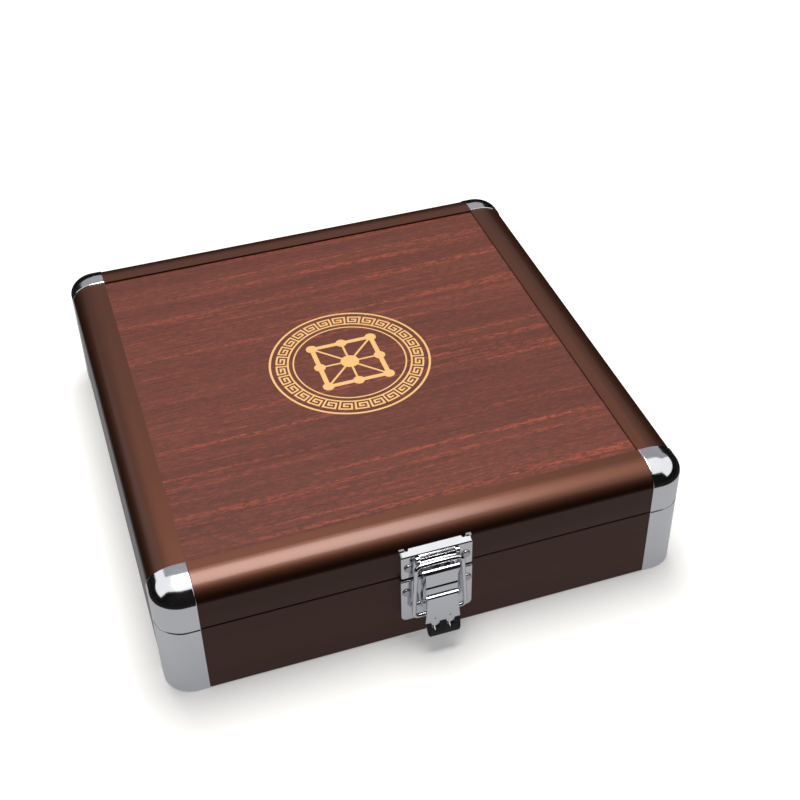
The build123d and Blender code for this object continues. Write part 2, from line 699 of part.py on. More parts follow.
with BuildPart() as latch_lever:
    with BuildSketch(latch_section()) as section:
        with BuildLine():
            Polyline(*lever_front, *lever_back, close=True)
        make_face()
        fillet(section.vertices().sort_by_distance(lever_front[4])[0], radius=lever_step_hollow)
        fillet(section.vertices().sort_by_distance(lever_front[5])[0], radius=lever_step_round)
        with Locations((pivot_out, pivot_z)):
            Circle(roll_radius)
    extrude(amount=lever_tab_half, both=True)
    with BuildSketch(front_plane()) as outline:
        with Locations((0, neck_z)):
            Rectangle(2 * roll_half, 3 * roll_radius, align=(Align.CENTER, Align.MIN))
        with Locations((0, step_z)):
            Rectangle(2 * lever_neck_half, neck_z - step_z, align=(Align.CENTER, Align.MIN))
        with BuildLine():
            Polyline(
                (-lever_step_half, step_z),
                (-lever_tab_half, bend_z),
                (-lever_lip_half, lever_back[0][1]),
                (lever_lip_half, lever_back[0][1]),
                (lever_tab_half, bend_z),
                (lever_step_half, step_z),
                close=True,
            )
        make_face()
        fillet(outline.vertices().group_by(Axis.Y)[0], radius=lever_lip_corner)
    extrude(amount=2 * tip_out, mode=Mode.INTERSECT)
    for x in (-cheek_middle, cheek_middle):
        with BuildSketch(latch_section(x)):
            with BuildLine():
                Polyline(
                    (lever_face - sheet / 2, pivot_z),
                    (pivot_out - roll_radius / 2, pivot_z),
                    (cheek_top_out, pivot_z - cheek_top_drop),
                    (bail_out - cheek_lobe, bail_z),
                    (bail_out, bail_z - cheek_lobe),
                    (lever_face - sheet / 2, bail_z - cheek_lobe),
                    close=True,
                )
            make_face()
            with Locations((bail_out, bail_z)):
                Circle(cheek_lobe)
        extrude(amount=cheek_sheet / 2, both=True)
    add(pocket_backs)
    with BuildSketch(front_plane(bend_out)):
        with Locations(*pockets):
            Ellipse(pocket_half, pocket_drop)
    extrude(amount=tip_out, dir=pocket_way, mode=Mode.SUBTRACT)
    with Locations(front_plane(bend_out + dimple_radius - dimple_depth)):
        with Locations(*[(x, z + dimple_rise) for x, z in pockets]):
            Sphere(dimple_radius, mode=Mode.SUBTRACT)
    with BuildSketch(latch_section()):
        with Locations((pivot_out, pivot_z)):
            Circle(pin_radius + pin_play)
        with Locations((bail_out, bail_z)):
            Circle(wire_radius + pin_play)
    extrude(amount=roll_half, both=True, mode=Mode.SUBTRACT)
finish(latch_lever.part, "latch_lever")

# ------------------------------------------------------------------ latch bail
# Round steel wire bent to a loop, with both ends turned into the lever's cheeks.
bail_lean = Vector(0, bail_out - bar_out, bar_z - bail_z)
bail_plane = Plane(
    origin=(0, -front_face - bail_out, bail_z),
    x_dir=(1, 0, 0),
    z_dir=Vector(1, 0, 0).cross(bail_lean),
)
with BuildPart() as latch_bail:
    with BuildLine(bail_plane) as loop:
        FilletPolyline(
            (bail_end_x, 0),
            (bail_foot_half, 0),
            (bail_top_half, bail_reach),
            (0, bail_rise),
            (-bail_top_half, bail_reach),
            (-bail_foot_half, 0),
            (-bail_end_x, 0),
            radius=[bail_foot_bend, bail_bend, bail_bow_radius, bail_bend, bail_foot_bend],
        )
    with BuildSketch(Plane(origin=loop.line @ 0, z_dir=loop.line % 0)):
        Circle(wire_radius)
    sweep()
finish(latch_bail.part, "latch_bail")


# --------------------------------------------------------------------- hinges
# Steel butt hinges on the back: knuckles rolled from the two leaves, and a pin.
def hinge_leaf(middle, side, length, first_knuckle, rivet_z):
    """One leaf: side is 1 for the lid's, which stands up, and -1 for the base's."""
    near = hinge_z + side * (knuckle_radius + knuckle_relief)
    far = hinge_z + side * length
    with BuildPart() as leaf:
        with BuildSketch(hinge_section(middle)):
            with Locations((hinge_sheet / 2, (near + far) / 2)):
                Rectangle(hinge_sheet, abs(far - near))
        extrude(amount=hinge_width / 2, both=True)
        free_corners = leaf.edges().filter_by(Axis.Y).group_by(Axis((0, 0, 0), (0, 0, side)))[-1]
        fillet(free_corners, radius=hinge_leaf_corner)
        for index in range(first_knuckle, knuckle_count, 2):
            start = middle - hinge_width / 2 + index * knuckle_width + knuckle_gap / 2
            with BuildSketch(hinge_section(start)):
                with Locations((hinge_sheet / 2, (near + hinge_z) / 2)):
                    Rectangle(hinge_sheet, abs(near - hinge_z))
                with Locations((hinge_out, hinge_z)):
                    Circle(knuckle_radius)
            extrude(amount=knuckle_width - knuckle_gap)
        with BuildSketch(hinge_section(middle)):
            with Locations((hinge_out, hinge_z)):
                Circle(hinge_pin_radius + hinge_pin_play)
        extrude(amount=hinge_width, both=True, mode=Mode.SUBTRACT)
        with BuildSketch(back_plane()):
            with Locations((-middle - hinge_rivet_x, rivet_z), (-middle + hinge_rivet_x, rivet_z)):
                Circle(rivet_shank + rivet_play)
        extrude(amount=hinge_sheet, mode=Mode.SUBTRACT)
    return leaf.part


for hand, middle in (("left", -hinge_x), ("right", hinge_x)):
    finish(hinge_leaf(middle, -1, hinge_base_leaf, 0, base_rivet_z), "hinge_base_leaf_" + hand)
    finish(hinge_leaf(middle, 1, hinge_lid_leaf, 1, lid_rivet_z), "hinge_lid_leaf_" + hand)

with BuildPart() as hinge_pins:
    for middle in (-hinge_x, hinge_x):
        with BuildSketch(hinge_section(middle)):
            with Locations((hinge_out, hinge_z)):
                Circle(hinge_pin_radius)
        extrude(amount=hinge_width / 2, both=True)
finish(hinge_pins.part, "hinge_pins")
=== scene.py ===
import bpy
from math import pi, radians, tan
from mathutils import Euler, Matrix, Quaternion, Vector


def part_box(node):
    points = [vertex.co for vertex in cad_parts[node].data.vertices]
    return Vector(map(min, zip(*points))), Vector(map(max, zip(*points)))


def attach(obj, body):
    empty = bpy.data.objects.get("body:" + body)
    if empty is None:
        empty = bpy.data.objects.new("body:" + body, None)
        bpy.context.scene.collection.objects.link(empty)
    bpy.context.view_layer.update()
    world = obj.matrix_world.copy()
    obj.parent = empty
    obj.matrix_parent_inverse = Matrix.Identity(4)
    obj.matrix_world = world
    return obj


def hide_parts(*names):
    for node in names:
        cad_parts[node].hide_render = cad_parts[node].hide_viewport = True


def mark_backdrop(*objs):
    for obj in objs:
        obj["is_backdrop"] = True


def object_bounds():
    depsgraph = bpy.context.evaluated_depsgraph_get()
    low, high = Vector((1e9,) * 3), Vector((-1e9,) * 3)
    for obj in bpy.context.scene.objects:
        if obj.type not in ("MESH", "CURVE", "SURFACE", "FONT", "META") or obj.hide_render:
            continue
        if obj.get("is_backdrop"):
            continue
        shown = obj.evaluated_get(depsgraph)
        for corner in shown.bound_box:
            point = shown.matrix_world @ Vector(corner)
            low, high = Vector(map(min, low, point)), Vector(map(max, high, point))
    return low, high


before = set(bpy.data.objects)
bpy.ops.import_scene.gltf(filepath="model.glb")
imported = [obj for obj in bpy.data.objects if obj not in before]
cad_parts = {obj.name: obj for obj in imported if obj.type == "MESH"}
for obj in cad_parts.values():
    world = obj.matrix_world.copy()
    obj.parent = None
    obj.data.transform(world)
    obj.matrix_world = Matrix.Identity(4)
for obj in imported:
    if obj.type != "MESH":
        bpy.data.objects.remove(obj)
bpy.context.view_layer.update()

# ------------------------------------------------------------------ the studio
# White sweep, a large softbox overhead, a glowing card behind, and black flags that only polished
# metal reflects: they draw the dark band round the chromed corners.
camera_turn, camera_height, camera_roll = 17.747, 40.307, -1.183
bpy.ops.object.select_all(action="DESELECT")
bpy.ops.object.camera_add(location=(-0.124381, -0.461449, 0.437093))
camera = bpy.context.object
camera.name = "studio_camera"
camera.data.lens = 61.06
camera.data.sensor_width = 36.0
camera.data.clip_start = 0.01
camera.rotation_mode = "QUATERNION"
camera.rotation_quaternion = (
    Euler((pi / 2 - radians(camera_height), 0, -radians(camera_turn))).to_quaternion()
    @ Quaternion((0, 0, 1), radians(camera_roll))
)
scene = bpy.context.scene
scene.camera = camera
scene.view_settings.view_transform = "Standard"


def new_finish(name):
    """A material, its nodes and its Principled shader."""
    finish = bpy.data.materials.new(name)
    finish.use_nodes = True
    nodes = finish.node_tree.nodes
    return finish, nodes, nodes["Principled BSDF"]


def node(tree_nodes, kind, values=None, **settings):
    """One shader node with its settings, and its unlinked sockets by name or index."""
    made = tree_nodes.new(kind)
    for setting, value in settings.items():
        setattr(made, setting, value)
    for socket, value in (values or {}).items():
        made.inputs[socket].default_value = value
    return made


def seen_directly(nodes, links):
    """1 for camera, glossy and transmission rays, which show the white background."""
    path = node(nodes, "ShaderNodeLightPath")
    either = node(nodes, "ShaderNodeMath", operation="MAXIMUM")
    links.new(path.outputs["Is Camera Ray"], either.inputs[0])
    links.new(path.outputs["Is Glossy Ray"], either.inputs[1])
    any_of_them = node(nodes, "ShaderNodeMath", operation="MAXIMUM")
    links.new(either.outputs[0], any_of_them.inputs[0])
    links.new(path.outputs["Is Transmission Ray"], any_of_them.inputs[1])
    return any_of_them.outputs[0]


world = bpy.data.worlds.new("studio_white")
scene.world = world
world.use_nodes = True
world_nodes, world_links = world.node_tree.nodes, world.node_tree.links
world_fill = 0.15
strength = node(world_nodes, "ShaderNodeMapRange", {"To Min": world_fill, "To Max": 1.0})
world_links.new(seen_directly(world_nodes, world_links), strength.inputs["Value"])
world_nodes["Background"].inputs["Color"].default_value = (1, 1, 1, 1)
world_links.new(strength.outputs[0], world_nodes["Background"].inputs["Strength"])

floor_radius = 6.0
bpy.ops.mesh.primitive_circle_add(
    vertices=96, radius=floor_radius, fill_type="NGON", location=(0, 0, -0.0002)
)
sweep = bpy.context.object
sweep.name = "studio_floor"
floor_white, floor_nodes, floor_shader = new_finish("studio_floor_white")
floor_links = floor_white.node_tree.links
floor_shader.inputs["Base Color"].default_value = (0.72, 0.72, 0.72, 1)
floor_shader.inputs["Roughness"].default_value = 0.9
floor_shader.inputs["Specular IOR Level"].default_value = 0.1
floor_shader.inputs["Emission Color"].default_value = (1, 1, 1, 1)
# Far from the case, past the softbox's light, the floor is made as white as near it.
floor_at = node(floor_nodes, "ShaderNodeTexCoord")
floor_reach = node(floor_nodes, "ShaderNodeVectorMath", operation="LENGTH")
floor_links.new(floor_at.outputs["Object"], floor_reach.inputs[0])
near_lift, full_lift = 0.28, 1.0
lift_starts, lift_ends = 0.3, 1.6
whiter = node(
    floor_nodes, "ShaderNodeMapRange",
    {"From Min": lift_starts, "From Max": lift_ends, "To Min": near_lift, "To Max": full_lift},
)
floor_links.new(floor_reach.outputs["Value"], whiter.inputs["Value"])
lift = node(floor_nodes, "ShaderNodeMapRange", {"To Min": 0.0})
floor_links.new(seen_directly(floor_nodes, floor_links), lift.inputs["Value"])
floor_links.new(whiter.outputs[0], lift.inputs["To Max"])
floor_links.new(lift.outputs[0], floor_shader.inputs["Emission Strength"])
sweep.data.materials.append(floor_white)

# The floor flag leaves a white strip round the case, and the tall flag stands
# behind the camera. The back card tones the flat metal on top down to grey.
flag_strip, flag_far, flag_top = 0.064, 1.6, 24.0
bpy.ops.mesh.primitive_plane_add(size=1.0, location=(0, 0, 0.0008))
floor_flag = bpy.context.object
floor_flag.name = "studio_floor_flag"
case_wide, case_deep = 0.223, 0.228
floor_flag.scale = (case_wide + 2 * flag_strip, case_deep + 2 * flag_strip, 1)
bpy.ops.object.transform_apply(location=False, rotation=False, scale=True)
bpy.ops.object.mode_set(mode="EDIT")
bpy.ops.mesh.select_mode(type="VERT")
bpy.ops.mesh.bevel(offset=flag_strip, segments=12, affect="VERTICES")
bpy.ops.mesh.select_all(action="SELECT")
bpy.ops.mesh.delete(type="ONLY_FACE")
bpy.ops.mesh.select_all(action="SELECT")
bpy.ops.mesh.extrude_edges_move()
bpy.ops.transform.resize(value=(9, 9, 1), center_override=(0, 0, 0))
bpy.ops.object.mode_set(mode="OBJECT")
# Painted shade: the grey card glows evenly and only metal reflects it. It stands in for the shaded
# floor round the case.
bpy.ops.mesh.primitive_plane_add(size=1.0, location=(0, 0, 0.0005))
grey_card = bpy.context.object
grey_card.name = "studio_grey_card"
grey_card.scale = (0.8, 0.8, 1)
round_height = flag_far * tan(radians(flag_top))
bpy.ops.mesh.primitive_cylinder_add(
    vertices=96, radius=flag_far, depth=round_height, end_fill_type="NOTHING",
    location=(0, 0, round_height / 2),
)
round_flag = bpy.context.object
round_flag.name = "studio_round_flag"
facing_camera = (radians(90), 0, -radians(camera_turn))
bpy.ops.mesh.primitive_plane_add(size=1.0, location=(-0.274, -0.857, 1.25), rotation=facing_camera)
tall_flag = bpy.context.object
tall_flag.name = "studio_tall_flag"
tall_flag.scale = (3.0, 2.5, 1)
bpy.ops.mesh.primitive_plane_add(size=1.0, location=(0.457, 1.429, 1.45), rotation=facing_camera)
back_card = bpy.context.object
back_card.name = "studio_back_card"
back_card.scale = (3.2, 1.7, 1)
flag_black, _, flag_shader = new_finish("studio_flag_black")
flag_shader.inputs["Base Color"].default_value = (0.012, 0.011, 0.011, 1)
flag_shader.inputs["Roughness"].default_value = 1.0
flag_shader.inputs["Specular IOR Level"].default_value = 0.0
card_grey, _, card_shader = new_finish("studio_card_grey")
card_shader.inputs["Base Color"].default_value = (0.12, 0.12, 0.12, 1)
card_shader.inputs["Emission Color"].default_value = (0.98, 0.99, 1.03, 1)
card_shader.inputs["Emission Strength"].default_value = 0.32
card_shader.inputs["Roughness"].default_value = 1.0
card_shader.inputs["Specular IOR Level"].default_value = 0.0
for flag in (floor_flag, round_flag, tall_flag, grey_card, back_card):
    flag.data.materials.append(card_grey if flag in (grey_card, back_card) else flag_black)
    flag.visible_camera = False
    flag.visible_diffuse = False
    flag.visible_shadow = False
    flag.visible_transmission = False
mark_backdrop(sweep, floor_flag, round_flag, tall_flag, grey_card, back_card)


def softbox(name, place, aim, width, height, radiance):
    bpy.ops.object.light_add(type="AREA", location=place)
    lamp = bpy.context.object
    lamp.name = name
    lamp.data.color = (1.0, 0.975, 0.935)
    lamp.data.shape = "RECTANGLE"
    lamp.data.size, lamp.data.size_y = width, height
    lamp.data.energy = radiance * 4 * width * height
    lamp.rotation_mode = "QUATERNION"
    lamp.rotation_quaternion = (Vector(aim) - Vector(place)).to_track_quat("-Z", "Y")
    return lamp


softbox("studio_overhead", (0.04, 0.24, 1.40), (0.04, 0.24, 0.0), 0.72, 1.02, 9.5)

# ------------------------------------------------------- anodised frame rails
# Eight lengths of extruded aluminium, satin brown anodised: four round the lid
# with a rounded shoulder, four round the base. They keep their CAD shapes.
grain = bpy.data.node_groups.new("drawn_grain", "ShaderNodeTree")
grain.interface.new_socket("Stretch", in_out="INPUT", socket_type="NodeSocketVector")
grain.interface.new_socket("Detail", in_out="INPUT", socket_type="NodeSocketFloat")
grain.interface.new_socket("Wander", in_out="INPUT", socket_type="NodeSocketFloat")
grain.interface.new_socket("Value", in_out="OUTPUT", socket_type="NodeSocketFloat")
gn, gl = grain.nodes, grain.links
grain_in, grain_out = gn.new("NodeGroupInput"), gn.new("NodeGroupOutput")
place = node(gn, "ShaderNodeTexCoord")
stretched = node(gn, "ShaderNodeVectorMath", operation="MULTIPLY")
gl.new(place.outputs["Object"], stretched.inputs[0])
gl.new(grain_in.outputs["Stretch"], stretched.inputs[1])
lines = node(gn, "ShaderNodeTexNoise", {"Scale": 1.0, "Roughness": 0.6})
gl.new(stretched.outputs[0], lines.inputs["Vector"])
gl.new(grain_in.outputs["Detail"], lines.inputs["Detail"])
gl.new(grain_in.outputs["Wander"], lines.inputs["Distortion"])
gl.new(lines.outputs[0], grain_out.inputs["Value"])


def grain_node(nodes, stretch, detail=3.0, wander=0.0):
    made = node(nodes, "ShaderNodeGroup")
    made.node_tree = grain
    made.inputs["Stretch"].default_value = stretch
    made.inputs["Detail"].default_value = detail
    made.inputs["Wander"].default_value = wander
    return made


def rail_finish(name, drawn):
    """Anodised extrusion. drawn is how finely each axis is cut up: low along the rail."""
    finish, nodes, shader = new_finish(name)
    links = finish.node_tree.links
    dye = grain_node(nodes, tuple(3 if d else 90 for d in drawn), 2.0)
    tone = node(nodes, "ShaderNodeValToRGB")
    tone.color_ramp.elements[0].position, tone.color_ramp.elements[1].position = 0.3, 0.7
    tone.color_ramp.elements[0].color = (0.075, 0.0265, 0.0152, 1)
    tone.color_ramp.elements[1].color = (0.087, 0.0310, 0.0180, 1)
    links.new(dye.outputs[0], tone.inputs["Fac"])
    links.new(tone.outputs[0], shader.inputs["Base Color"])
    satin = grain_node(nodes, tuple(20 if d else 2600 for d in drawn), 2.0)
    matte = node(nodes, "ShaderNodeMapRange", {"To Min": 0.46, "To Max": 0.52})
    links.new(satin.outputs[0], matte.inputs["Value"])
    links.new(matte.outputs[0], shader.inputs["Roughness"])
    frost = node(nodes, "ShaderNodeTexNoise", {"Scale": 4200.0, "Detail": 1.0})
    at = node(nodes, "ShaderNodeTexCoord")
    links.new(at.outputs["Object"], frost.inputs["Vector"])
    relief = node(nodes, "ShaderNodeBump", {"Strength": 0.12, "Distance": 0.00002})
    links.new(frost.outputs[0], relief.inputs["Height"])
    links.new(relief.outputs[0], shader.inputs["Normal"])
    shader.inputs["Metallic"].default_value = 1.0
    shader.inputs["Coat Weight"].default_value = 0.47
    shader.inputs["Coat Roughness"].default_value = 0.2
    return finish


rail_along_x = rail_finish("brown_anodised_along_x", (True, False, False))
rail_along_y = rail_finish("brown_anodised_along_y", (False, True, False))
rail_sides = {
    "front": rail_along_x, "back": rail_along_x,
    "left": rail_along_y, "right": rail_along_y,
}
for half in ("base_rail_", "lid_rail_"):
    for side, finish in rail_sides.items():
        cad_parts[half + side].material_slots[0].material = finish

# ---------------------------------------------------------- chromed corners
# Eight die-cast corner pieces, polished and chromed, pressed into the ends of
# the rails. Bright plating with a slight ripple and a breath of haze.
haze = bpy.data.node_groups.new("plating_haze", "ShaderNodeTree")
haze.interface.new_socket("Clearest", in_out="INPUT", socket_type="NodeSocketFloat")
haze.interface.new_socket("Haziest", in_out="INPUT", socket_type="NodeSocketFloat")
haze.interface.new_socket("Ripple", in_out="INPUT", socket_type="NodeSocketFloat")
haze.interface.new_socket("Roughness", in_out="OUTPUT", socket_type="NodeSocketFloat")
haze.interface.new_socket("Normal", in_out="OUTPUT", socket_type="NodeSocketVector")
hn, hl = haze.nodes, haze.links
haze_in, haze_out = hn.new("NodeGroupInput"), hn.new("NodeGroupOutput")
where = node(hn, "ShaderNodeTexCoord")
breath = node(hn, "ShaderNodeTexNoise", {"Scale": 160.0, "Detail": 5.0, "Roughness": 0.65})
hl.new(where.outputs["Object"], breath.inputs["Vector"])
spread = node(hn, "ShaderNodeMapRange", {"From Min": 0.3, "From Max": 0.75})
hl.new(breath.outputs[0], spread.inputs["Value"])
hl.new(haze_in.outputs["Clearest"], spread.inputs["To Min"])
hl.new(haze_in.outputs["Haziest"], spread.inputs["To Max"])
hl.new(spread.outputs[0], haze_out.inputs["Roughness"])
wave = node(hn, "ShaderNodeTexNoise", {"Scale": 120.0, "Detail": 1.0})
hl.new(where.outputs["Object"], wave.inputs["Vector"])
ripple = node(hn, "ShaderNodeBump", {"Distance": 0.0002})
hl.new(wave.outputs[0], ripple.inputs["Height"])
hl.new(haze_in.outputs["Ripple"], ripple.inputs["Strength"])
hl.new(ripple.outputs[0], haze_out.inputs["Normal"])


def plated(name, colour, clearest, haziest, ripple_strength):
    finish, nodes, shader = new_finish(name)
    links = finish.node_tree.links
    film = node(nodes, "ShaderNodeGroup")
    film.node_tree = haze
    film.inputs["Clearest"].default_value = clearest
    film.inputs["Haziest"].default_value = haziest
    film.inputs["Ripple"].default_value = ripple_strength
    links.new(film.outputs["Roughness"], shader.inputs["Roughness"])
    links.new(film.outputs["Normal"], shader.inputs["Normal"])
    shader.inputs["Base Color"].default_value = (*colour, 1)
    shader.inputs["Metallic"].default_value = 1.0
    return finish


corner_chrome = plated("corner_chrome", (0.80, 0.805, 0.835), 0.08, 0.15, 0.05)
for half in ("base_corner_", "lid_corner_"):
    for corner in ("front_left", "front_right", "back_left", "back_right"):
        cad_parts[half + corner].material_slots[0].material = corner_chrome

# ----------------------------------------------------------------- lid panel
# Fibreboard faced with a satin mahogany-look laminate: dusky brown, with fine red
# fibres and broken red streaks from left to right, and a few dark pore lines.
laminate, laminate_nodes, laminate_shader = new_finish("mahogany_laminate")
laminate_links = laminate.node_tree.links


def mix_colours(nodes, links, amount, first, second, blend="MIX"):
    """Mixes two colours, each a socket or a value, by a socket or a number."""
    made = node(nodes, "ShaderNodeMix", data_type="RGBA", blend_type=blend)
    for socket, value in ((0, amount), (6, first), (7, second)):
        if isinstance(value, bpy.types.NodeSocket):
            links.new(value, made.inputs[socket])
        else:
            made.inputs[socket].default_value = value
    return made.outputs[2]


def clipped(nodes, links, value, low, high, top=1.0, bottom=0.0):
    """bottom below low, top above high, and a straight line between."""
    ends = {"From Min": low, "From Max": high, "To Min": bottom, "To Max": top}
    made = node(nodes, "ShaderNodeMapRange", ends)
    links.new(value, made.inputs["Value"])
    return made.outputs[0]


def product(nodes, links, first, second):
    made = node(nodes, "ShaderNodeMath", operation="MULTIPLY")
    links.new(first, made.inputs[0])
    links.new(second, made.inputs[1])
    return made.outputs[0]


bands = grain_node(laminate_nodes, (3.0, 70.0, 3.0), 4.0, 0.35)
fibres = grain_node(laminate_nodes, (300.0, 1250.0, 300.0), 2.0, 0.8)
streaks = grain_node(laminate_nodes, (4.0, 210.0, 4.0), 3.0, 0.4)
pores = grain_node(laminate_nodes, (38.0, 950.0, 38.0), 2.0, 0.5)
laminate_tree = (laminate_nodes, laminate_links)
dusky_brown, dark_brown = (0.115, 0.038, 0.028, 1), (0.090, 0.030, 0.022, 1)
fibre_red, streak_red = (0.205, 0.053, 0.036, 1), (0.31, 0.072, 0.046, 1)
pore_dark = (0.060, 0.026, 0.022, 1)
dark_amount = clipped(*laminate_tree, bands.outputs[0], 0.38, 0.64)
ground = mix_colours(*laminate_tree, dark_amount, dusky_brown, dark_brown)
fibre_zone = clipped(*laminate_tree, bands.outputs[0], 0.38, 0.64, 0.45, 1.0)
fibre_amount = clipped(*laminate_tree, fibres.outputs[0], 0.48, 0.62, 0.62)
fibres_there = product(*laminate_tree, fibre_amount, fibre_zone)
with_fibres = mix_colours(*laminate_tree, fibres_there, ground, fibre_red)
streak_line = clipped(*laminate_tree, streaks.outputs[0], 0.54, 0.68, 0.85)
streak_break = clipped(*laminate_tree, fibres.outputs[0], 0.40, 0.56)
streak_amount = product(*laminate_tree, streak_line, streak_break)
with_streaks = mix_colours(*laminate_tree, streak_amount, with_fibres, streak_red)
pore_amount = clipped(*laminate_tree, pores.outputs[0], 0.57, 0.68, 0.6)
with_pores = mix_colours(*laminate_tree, pore_amount, with_streaks, pore_dark)
laminate_links.new(with_pores, laminate_shader.inputs["Base Color"])
sheen = node(laminate_nodes, "ShaderNodeMapRange", {"To Min": 0.44, "To Max": 0.56})
laminate_links.new(fibres.outputs[0], sheen.inputs["Value"])
laminate_links.new(sheen.outputs[0], laminate_shader.inputs["Roughness"])
pore_press = {"Strength": 0.25, "Distance": 0.00004}
pressed = node(laminate_nodes, "ShaderNodeBump", pore_press, invert=True)
laminate_links.new(pore_amount, pressed.inputs["Height"])
laminate_links.new(pressed.outputs[0], laminate_shader.inputs["Normal"])
laminate_shader.inputs["Specular IOR Level"].default_value = 0.12
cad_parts["lid_panel"].material_slots[0].material = laminate

# ------------------------------------------------------------ print on the lid
# Hot-stamped foil in the middle of the panel: a traditional meander between two
# thin rings, round the nine points of a palace with their joining lines.
panel_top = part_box("lid_panel")[1].z
print_sunk, print_proud = 0.00001, 0.00005
fret_radius, fret_units = 0.0305, 28
fret_rows = (
    "########",
    "#.......",
    "#.#####.",
    "#.#...#.",
    "#.###.#.",
    "#.....#.",
    "#######.",
)
fret_cell = 2 * pi * fret_radius / (fret_units * len(fret_rows[0]))


def only(picked):
    """Selects one object alone and makes it the active one."""
    bpy.ops.object.select_all(action="DESELECT")
    picked.select_set(True)
    bpy.context.view_layer.objects.active = picked


def modify(piece, kind, **settings):
    """Adds a modifier with these settings and applies it."""
    only(piece)
    bpy.ops.object.modifier_add(type=kind)
    modifier = piece.modifiers[-1]
    for setting, value in settings.items():
        setattr(modifier, setting, value)
    bpy.ops.object.modifier_apply(modifier=modifier.name)


def pick_faces(piece, wanted):
    """In edit mode, selects the faces whose centre is wanted. Leaves edit mode on."""
    only(piece)
    bpy.ops.object.mode_set(mode="EDIT")
    bpy.ops.mesh.select_mode(type="FACE")
    bpy.ops.mesh.select_all(action="DESELECT")
    bpy.ops.object.mode_set(mode="OBJECT")
    for face in piece.data.polygons:
        face.select = wanted(face.center)
    bpy.ops.object.mode_set(mode="EDIT")


def settle(piece, name, body, finish):
    """Names a finished piece, gives it its material, and makes it ride on its body."""
    only(piece)
    bpy.ops.object.transform_apply(location=True, rotation=True, scale=True)
    piece.name = name
    piece.data.materials.clear()
    piece.data.materials.append(finish)
    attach(piece, body)


def stamp(piece, layer=0):
    """Gives flat foil its thickness, just proud of the panel. Higher layers lap lower ones."""
    only(piece)
    bpy.ops.object.transform_apply(location=True, rotation=True, scale=True)
    modify(piece, "SOLIDIFY", thickness=print_sunk + print_proud + 0.00001 * layer, offset=1.0)
    bpy.ops.transform.translate(value=(0, 0, panel_top - print_sunk))


foil, foil_nodes, foil_shader = new_finish("gold_foil")
foil_links = foil.node_tree.links
foil_wear = node(foil_nodes, "ShaderNodeTexNoise", {"Scale": 900.0, "Detail": 3.0})
foil_at = node(foil_nodes, "ShaderNodeTexCoord")
foil_links.new(foil_at.outputs["Object"], foil_wear.inputs["Vector"])
dull_gold, bright_gold = (0.66, 0.395, 0.145, 1), (0.71, 0.430, 0.162, 1)
foil_amount = clipped(foil_nodes, foil_links, foil_wear.outputs[0], 0.35, 0.7)
foil_tone = mix_colours(foil_nodes, foil_links, foil_amount, dull_gold, bright_gold)
foil_links.new(foil_tone, foil_shader.inputs["Base Color"])
foil_relief = node(foil_nodes, "ShaderNodeBump", {"Strength": 0.15, "Distance": 0.00002})
foil_links.new(foil_wear.outputs[0], foil_relief.inputs["Height"])
foil_links.new(foil_relief.outputs[0], foil_shader.inputs["Normal"])
foil_shader.inputs["Roughness"].default_value = 0.42
foil_shader.inputs["Metallic"].default_value = 0.15

fret_across, fret_down = len(fret_rows[0]), len(fret_rows)
bpy.ops.mesh.primitive_grid_add(
    x_subdivisions=fret_across, y_subdivisions=fret_down, size=1.0, location=(0, 0, 0)
)
fret = bpy.context.object
fret.scale = (fret_across * fret_cell, fret_down * fret_cell, 1)
bpy.ops.object.transform_apply(location=True, rotation=True, scale=True)


def between_lines(centre):
    """Whether this cell of the meander is bare panel."""
    row = fret_rows[int(fret_down / 2 - centre.y / fret_cell)]
    return row[int(fret_across / 2 + centre.x / fret_cell)] == "."


pick_faces(fret, between_lines)
bpy.ops.mesh.delete(type="FACE")
bpy.ops.object.mode_set(mode="OBJECT")
modify(
    fret, "ARRAY", count=fret_units, use_merge_vertices=True, merge_threshold=fret_cell / 100,
    use_relative_offset=False, use_constant_offset=True,
    constant_offset_displace=(fret_across * fret_cell, 0, 0),
)
bpy.ops.object.origin_set(type="ORIGIN_GEOMETRY", center="BOUNDS")
fret.location = (0, 0, 0)
modify(fret, "SIMPLE_DEFORM", deform_method="BEND", angle=2 * pi, deform_axis="Z")
bpy.ops.object.origin_set(type="ORIGIN_GEOMETRY", center="BOUNDS")
fret.location = (0, 0, 0)
pick_faces(fret, lambda c: True)
bpy.ops.mesh.remove_doubles(threshold=fret_cell / 20)
bpy.ops.mesh.normals_make_consistent(inside=False)
bpy.ops.object.mode_set(mode="OBJECT")
stamp(fret)
settle(fret, "print_fret_ring", "lid", foil)

print_rings = (("print_outer_ring", 0.0365, 0.0010), ("print_inner_ring", 0.0258, 0.0007))
for name, outer, line in print_rings:
    bpy.ops.object.select_all(action="DESELECT")
    bpy.ops.mesh.primitive_circle_add(vertices=160, radius=outer, fill_type="NGON")
    ring = bpy.context.object
    bpy.ops.object.mode_set(mode="EDIT")
    bpy.ops.mesh.inset(thickness=line)
    bpy.ops.mesh.delete(type="FACE")
    bpy.ops.object.mode_set(mode="OBJECT")
    stamp(ring)
    settle(ring, name, "lid", foil)

